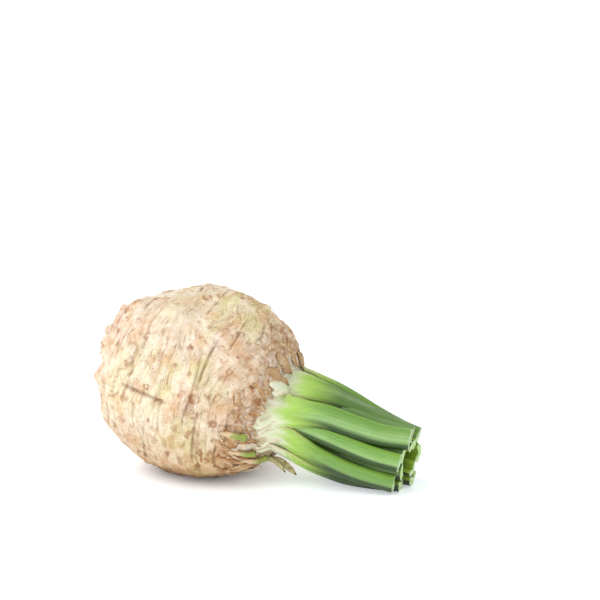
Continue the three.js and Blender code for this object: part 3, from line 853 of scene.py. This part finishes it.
    # Each stalk's own tone, with painted shade on the shaded ones.
    green = green * STALK_TONES_AND_SHADE.get(name, 1.0)
    green = mixed(green, linear(168, 200, 66), (0.75 * ramp(s, 0.0, 0.5) * ramp(tt, 0.86, 0.99)).ravel())
    colour = mixed(green, linear(172, 206, 92), 1 - ramp(along_x, 66, 94))
    colour = tinted(colour, (232, 229, 206), 1 - ramp(along_x, 57, 71))
    dirt = noise(np.stack([aa.ravel() * 6, reach * 16, np.full(count, number)], 1), 76)
    colour = tinted(colour, (190, 156, 114), 0.7 * ramp(dirt, 0.0, 0.5) * (1 - ramp(along_x, 52, 63)))
    edge = (ramp(np.abs(c), 0.86, 0.99) * sheath).ravel()
    colour = tinted(colour, (214, 190, 158), 0.8 * edge)

    def cut_colour(depth):
        flesh = np.tile(linear(200, 220, 160), (len(depth), 1))
        return mixed(flesh, linear(164, 198, 96), ramp(depth, 0.35, 0.8))

    rim = np.arange((rings - 1) * sides, rings * sides)
    colour[rim] = linear(214, 230, 196)
    start_colour = np.tile(linear(226, 222, 204), (len(start_depth), 1))
    colour = np.concatenate([colour, start_colour, cut_colour(end_depth)])
    span = np.linalg.norm(np.diff(centre, axis=0), axis=1)
    length = np.concatenate([[0], np.cumsum(span)])
    flat = np.stack([(aa * w / 2).ravel(), np.repeat(length, sides), np.full(count, 7.0 * number)], 1)
    inner = np.stack([points[count:, 1], points[count:, 2], points[count:, 0]], 1)

    piece = mesh_object(f"stalk_{name}", points, [*quads.tolist(), *start_faces, *end_faces])
    paint(piece, "tint", colour)
    measure(piece, "along", np.concatenate([flat, inner]))
    finish_piece(piece, STALK, "leaf_stalk", f"leaf_stalk_{name}")
    return piece


# ---- Ribbons: dry scales, scraps, fibres and side shoots ----


def ribbon(centre, across, outward, width, thick, cup, seed, sides=12, ragged=0.12):
    """Points and faces of a closed strip, thin at its edges, along centre."""
    rings = len(centre)
    angle = np.arange(sides) * 2 * math.pi / sides
    c, s = np.cos(angle), np.sin(angle)
    rows = np.arange(rings)
    edge = 1 + ragged * noise(np.stack([rows * 0.9, np.full(rings, seed * 1.7), 0 * rows], 1), 81)
    x = (width * edge / 2)[:, None] * c
    rise = -(thick / 2)[:, None] * s - (cup * width)[:, None] * c**2
    crumple_at = [np.repeat(rows, sides) * 0.5, np.tile(c, rings) * 2, np.full(rings * sides, seed)]
    crumple = noise(np.stack(crumple_at, 1), 82)
    rise = rise + 0.25 * np.minimum(1, width[:, None] / 4) * crumple.reshape(rings, sides)
    points = centre[:, None, :] + across[:, None, :] * x[..., None] + outward[:, None, :] * rise[..., None]
    faces = tube_faces(rings, sides).tolist()
    faces.append(list(range(sides))[::-1])
    faces.append([(rings - 1) * sides + j for j in range(sides)])
    return points.reshape(-1, 3), faces, np.tile(s, rings), np.tile(c, rings)


def strip_frames(centre, outward):
    along = np.gradient(centre, axis=0)
    along /= np.linalg.norm(along, axis=1)[:, None]
    across = np.cross(outward, along)
    across /= np.linalg.norm(across, axis=1)[:, None]
    return across, np.cross(along, across)


def measure_grain(piece, across, along, number):
    """Where each point lies across and along its leaf piece, in millimetres, and which piece it is."""
    measure(piece, "along", np.stack([across, along, np.full(len(across), number * 5.0)], 1))


SCALE_COUNT = 14


def scale_values(i):
    """A scale's around, polar, reach, width, lift and turn, as in the CAD."""
    around = 117 + 22 * i
    low = math.exp(-(((around - 140) / 35) ** 2))
    return (
        around, between(41, 53, low), between(15.5, 18, vary(i, 2.0)), between(8.5, 11.5, vary(i, 1.7)),
        between(1.5, 3, vary(i, 1.1)), 10 * (2 * vary(i, 2.3) - 1),
    )


SCALES = [scale_values(i) for i in range(SCALE_COUNT)]
PALE_SCALES = {1, 3, 4}


def build_scale(number, around, polar, reach, width, lift, turn):
    t = np.linspace(0, 1, 18)
    per_degree = ARC * math.radians(1)
    turned = t * reach * math.tan(math.radians(turn)) / (per_degree * math.sin(math.radians(polar)))
    centre, unit = skin_point(polar - t * reach / per_degree, around + turned, 0.4 + lift * t * t)
    across, outward = strip_frames(centre, unit)
    shape = np.sqrt(np.clip(1 - (2 * t - 1) ** 2, 0.01, 1)) * (1 - 0.35 * t)
    points, faces, _, c = ribbon(
        centre, across, outward, width * shape, 0.5 + 0.7 * shape, 0.05 + 0.06 * t, number + 3.0, 20, 0.25
    )
    piece = mesh_object(f"scale_{number:02d}", points, faces)
    tt = np.repeat(t, 20)
    tone = noise(points / 3.0, 91)
    pale = number in PALE_SCALES
    colour = np.tile(linear(226, 212, 186) if pale else linear(196, 158, 114), (len(points), 1))
    colour = mixed(colour, linear(234, 228, 214) if pale else linear(214, 188, 150), ramp(tone, -0.1, 0.6))
    colour = tinted(colour, (120, 82, 48), (0.15 if pale else 0.7) * ramp(tt + 0.3 * tone, 0.75, 1.1))
    colour = tinted(colour, (150, 108, 68), (0.3 if pale else 0.5) * ramp(np.abs(c), 0.8, 1))
    paint(piece, "tint", colour)
    measure_grain(piece, c * width / 2, tt * reach, number)
    finish_piece(piece, HUSK, "dry_leaf", f"dry_scale_{number:02d}")


# Side shoots: start and end as in the CAD, then lift, width and thickness in millimetres.
SHOOTS = [
    (name, (56 - 6 * i, 100 + 15 * i), (41 - 6 * i, 102 + 22 * i), (-0.5, 3.2), 4.5, 3.2)
    for i, name in enumerate(("high", "middle", "low"))
]


def build_shoot(number, name, start, end, lift, width, thick):
    t = np.linspace(0, 1, 30)
    centre, unit = skin_point(
        start[0] + (end[0] - start[0]) * t, start[1] + (end[1] - start[1]) * t,
        lift[0] + (lift[1] - lift[0]) * t**1.5 + thick * 0.3,
    )
    centre = np.stack([np.convolve(np.pad(axis, 4, "edge"), np.ones(9) / 9, "valid") for axis in centre.T], 1)
    across, outward = strip_frames(centre, unit)
    sides = 32
    points, faces, _, c = ribbon(
        centre, across, outward, width * (0.55 + 0.45 * ramp(t, 0, 0.5)), thick * (0.6 + 0.5 * t),
        np.full(30, 0.02), number + 40.0, sides, 0.14,
    )
    piece = mesh_object(f"shoot_{name}", points, faces)
    tt = np.repeat(t, sides)
    tone = noise(points / 2.5, 92)
    streaks = noise(np.stack([c * 5, tt * 1.5, np.full(len(points), number)], 1), 94)
    colour = np.tile(linear(142, 160, 66), (len(points), 1))
    colour = tinted(colour, (98, 112, 36), 0.7 * ramp(streaks, 0.1, 0.7))
    colour = tinted(colour, (218, 190, 152), 1 - ramp(tt + 0.14 * tone, 0.3, 0.66))
    colour = tinted(colour, (150, 100, 62), 0.65 * ramp(streaks + 0.4 * tone, 0.2, 0.7) * (1 - 0.5 * tt))
    colour = tinted(colour, (176, 130, 84), 0.6 * ramp(np.abs(c), 0.7, 0.95) * (1 - ramp(tt, 0.7, 1)))
    colour = tinted(colour, (84, 82, 34), 0.8 * ramp(tt, 0.93, 0.99))
    paint(piece, "tint", colour)
    measure_grain(piece, c * width / 2, tt * 16, number)
    finish_piece(piece, STALK, "side_shoot", f"side_shoot_{name}")


SCRAPS = [
    ("curl", [(53, 16, 17), (60, 17.5, 15.5), (66, 18, 11), (70.5, 18.5, 8)], 4.2, 0.9),
    ("strip", [(49, 19, 18), (56, 19.5, 15.5), (61, 20, 12), (64, 20.5, 9.5)], 3.2, 0.7),
]


def build_scrap(number, name, route, width, thick):
    t = np.linspace(0, 1, 30)
    spin = np.radians(20 + 70 * t + 25 * number)
    facing = np.outer(np.cos(spin), [0, 0, 1.0]) + np.outer(np.sin(spin), NEARSIDE)
    centre, _, across, outward = sweep_frames(route, facing, t)
    shape = np.sqrt(np.clip(1 - (1.7 * t - 0.7) ** 2, 0.03, 1))
    points, faces, s, c = ribbon(
        centre, across, outward, width * shape, thick * (0.6 + 0.4 * shape), 0.10 + 0.16 * t,
        number + 60.0, 20, 0.2,
    )
    piece = mesh_object(f"scrap_{name}", points, faces)
    tt = np.repeat(t, 20)
    tone = noise(points / 3, 93)
    colour = np.tile(linear(196, 190, 140), (len(points), 1))
    colour = tinted(colour, (150, 128, 84), ramp(tone, 0, 0.7))
    colour = tinted(colour, (92, 84, 56), 0.8 * ramp(s, 0.1, 0.6))
    colour = tinted(colour, (110, 78, 46), 0.8 * ramp(tt, 0.75, 1))
    paint(piece, "tint", colour)
    measure_grain(piece, c * width / 2, tt * 22, number)
    finish_piece(piece, HUSK, "dry_leaf", f"dry_leaf_{name}")


# Larger torn strips, mostly by the side shoots: start and end, as [polar, around], width and tone.
STRIPS = [
    ((polar, around), (polar - reach, around + reach), width, tone)
    for zone in (
        drawn(43, 20, (44, 58), (95, 145), (9, 15), (1.4, 3), (0.1, 0.85)),
        drawn(44, 14, (38, 46), ALL_ROUND, (9, 15), (2, 3.4), (0, 0.7)),
    )
    for polar, around, reach, width, tone in zone
]
FLAKE_TONES = [(232, 220, 202), (222, 196, 160), (206, 166, 120), (182, 132, 86), (142, 92, 54), (92, 62, 38)]
FLAKES = 520


def flake_tint(tone):
    place_in = tone * (len(FLAKE_TONES) - 1)
    low = min(int(place_in), len(FLAKE_TONES) - 2)
    mix = place_in - low
    return linear(*FLAKE_TONES[low]) * (1 - mix) + linear(*FLAKE_TONES[low + 1]) * mix


def build_flakes():
    """Torn leaf-base fibres all round the crown: many short strips, and the larger STRIPS."""
    rng = np.random.default_rng(19)
    strips = [(start, end, width, tone, 1.0) for start, end, width, tone in STRIPS]
    for _ in range(FLAKES):
        around = rng.uniform(0, 360)
        low = bell((around + 180) % 360 - 180 - 122, 34)  # 1 where the fibres are longest
        inner = COLLAR_EDGE - 1
        outer = CROWN_EDGE - 1
        reached = rng.uniform(0, 1) ** (1.7 - 0.9 * low)
        polar = inner + (outer - inner) * reached
        reach = rng.uniform(1.2, 4) + 11 * low * rng.uniform(0, 1)
        turn = rng.normal(6, 9) + 12 * low
        end = (polar - reach / ARC * 57.3, around + turn * reach / 10)
        tone = np.clip(rng.normal(0.3, 0.16) + 0.24 * low * rng.uniform(0, 1), 0.06, 1)
        raised = rng.uniform(0.0, 0.7) ** 1.5 * (1 - 0.8 * reached * (1 - low))
        width = rng.uniform(0.8, 2.6) * (0.6 + 0.4 * max(low, 1 - reached))
        strips.append(((polar, around), end, width, tone, raised))
    points, faces, colours, grain = [], [], [], []
    rings, sides = 10, 8
    t = np.linspace(0, 1, rings)
    count = 0
    for i, (start, end, width, tone, raised) in enumerate(strips):
        bow = rng.normal(0, 1.2)
        polar = start[0] + (end[0] - start[0]) * t
        around = start[1] + (((end[1] - start[1] + 180) % 360) - 180) * t + bow * np.sin(math.pi * t)
        centre, unit = skin_point(polar, around, raised * 1.5 * t**2)
        centre[1:-1] = (centre[:-2] + 2 * centre[1:-1] + centre[2:]) / 4
        across, outward = strip_frames(centre, unit)
        shape = np.sqrt(np.clip(1 - (1.25 * t - 0.25) ** 2, 0.01, 1)) * (1 - 0.3 * t)
        p, f, _, c = ribbon(
            centre, across, outward, width * shape, 0.35 + 0.35 * shape, 0.10 + 0 * t, i + 5.5, sides, 0.3
        )
        points.append(p)
        faces.extend([[index + count for index in face] for face in f])
        count += len(p)
        tt = np.repeat(t, sides)
        colour = np.tile(flake_tint(tone), (len(p), 1))
        colour = tinted(colour, (96, 62, 36), 0.55 * ramp(tt, 0.75, 1.0) * tone)
        colours.append(tinted(colour, (96, 62, 36), 0.5 * ramp(np.abs(c), 0.8, 1) * tone))
        grain.append(np.stack([c * width / 2, tt * 8, np.full(len(p), i * 3.1)], 1))
    piece = mesh_object("crown_fibres", np.concatenate(points), faces)
    paint(piece, "tint", np.concatenate(colours))
    measure(piece, "along", np.concatenate(grain))
    finish_piece(piece, HUSK, "dry_leaf")


# ---- Build it all ----

build_bulb()
for index, stalk in enumerate(STALKS):
    build_stalk(index + 1, *stalk)
for index, scale in enumerate(SCALES):
    build_scale(index + 1, *scale)
for index, shoot in enumerate(SHOOTS):
    build_shoot(index + 1, *shoot)
for index, scrap in enumerate(SCRAPS):
    build_scrap(index + 1, *scrap)

build_flakes()

# ---- Stage, light and camera ----


def floor_material():
    m = Nodes("pale_floor")
    where = m.place((1, 1, 1))
    m.link(m.span(m.noise(where, 3, 2), 0, 1, 0.84, 0.86), m.shader.inputs["Roughness"])
    m.set(Base_Color=(0.87, 0.895, 0.93, 1), Specular_IOR_Level=0.1)
    # The floor emits light to lift the shadows on it, which is painted light. It emits less near the bulb's
    # foot, which is a painted shadow round it.
    m.set(Emission_Color=(0.95, 0.97, 1, 1))
    reach = m.add("ShaderNodeVectorMath", operation="LENGTH")
    m.link(m.place((1, 1, 1)), reach.inputs[0])
    glow_with_painted_shadow = m.span(reach.outputs["Value"], 14 * MM, 68 * MM, 0.03, 0.44)
    m.link(glow_with_painted_shadow, m.shader.inputs["Emission Strength"])
    return m.material


floor_size = 6000
floor = mesh_object(
    "floor", [(-floor_size, -floor_size, 0), (floor_size, -floor_size, 0), (floor_size, floor_size, 0),
              (-floor_size, floor_size, 0)], [(0, 1, 2, 3)], smooth=False
)
floor.data.materials.append(floor_material())


def studio_world():
    """White all round, brightest at the horizon, so that the floor runs into it without a line."""
    world = bpy.data.worlds.new("studio")
    world.use_nodes = True
    nodes, links = world.node_tree.nodes, world.node_tree.links
    where = nodes.new("ShaderNodeTexCoord")
    split = nodes.new("ShaderNodeSeparateXYZ")
    band = nodes.new("ShaderNodeMapRange")
    for key, number in (("From Min", 0.05), ("From Max", 0.5), ("To Min", 1.7), ("To Max", SKY)):
        band.inputs[key].default_value = number
    links.new(where.outputs["Generated"], split.inputs["Vector"])
    links.new(split.outputs["Z"], band.inputs["Value"])
    background = nodes["Background"]
    background.inputs["Color"].default_value = (0.955, 0.975, 1.0, 1)
    links.new(band.outputs["Result"], background.inputs["Strength"])
    bpy.context.scene.world = world


def sun(name, towards, strength, spread_degrees, colour=(1, 1, 1)):
    """Light from one side, as from a large soft box: towards is the direction to it."""
    data = bpy.data.lights.new(name, "SUN")
    data.energy = strength
    data.angle = math.radians(spread_degrees)
    data.color = colour
    light = bpy.data.objects.new(name, data)
    light.rotation_euler = (-Vector(towards)).to_track_quat("-Z", "Y").to_euler()
    bpy.context.scene.collection.objects.link(light)


SKY = 0.6
studio_world()
sun("key", (-0.9, -0.75, 1.6), 1.85, 60, (1.0, 0.995, 0.985))
bpy.context.scene.view_settings.view_transform = "Standard"

AZIMUTH, ELEVATION = math.radians(19.5), math.radians(11)
LENS, SENSOR, FRAME_PX = 85.0, 36.0, 600
PX_PER_MM = 1.55
back = np.array([
    math.sin(AZIMUTH) * math.cos(ELEVATION), -math.cos(AZIMUTH) * math.cos(ELEVATION), math.sin(ELEVATION)
])
right = np.array([math.cos(AZIMUTH), math.sin(AZIMUTH), 0.0])
up = np.cross(back, right)
distance = LENS / SENSOR * FRAME_PX / PX_PER_MM
aim = np.array([0, 0, 59.2]) + right * 62.6 + up * 51.1
camera_data = bpy.data.cameras.new("camera")
camera_data.lens = LENS
camera_data.sensor_width = SENSOR
camera = bpy.data.objects.new("camera", camera_data)
camera.location = Vector((aim + back * distance) * MM)
camera.rotation_euler = Vector(-back).to_track_quat("-Z", "Y").to_euler()
bpy.context.scene.collection.objects.link(camera)
bpy.context.scene.camera = camera
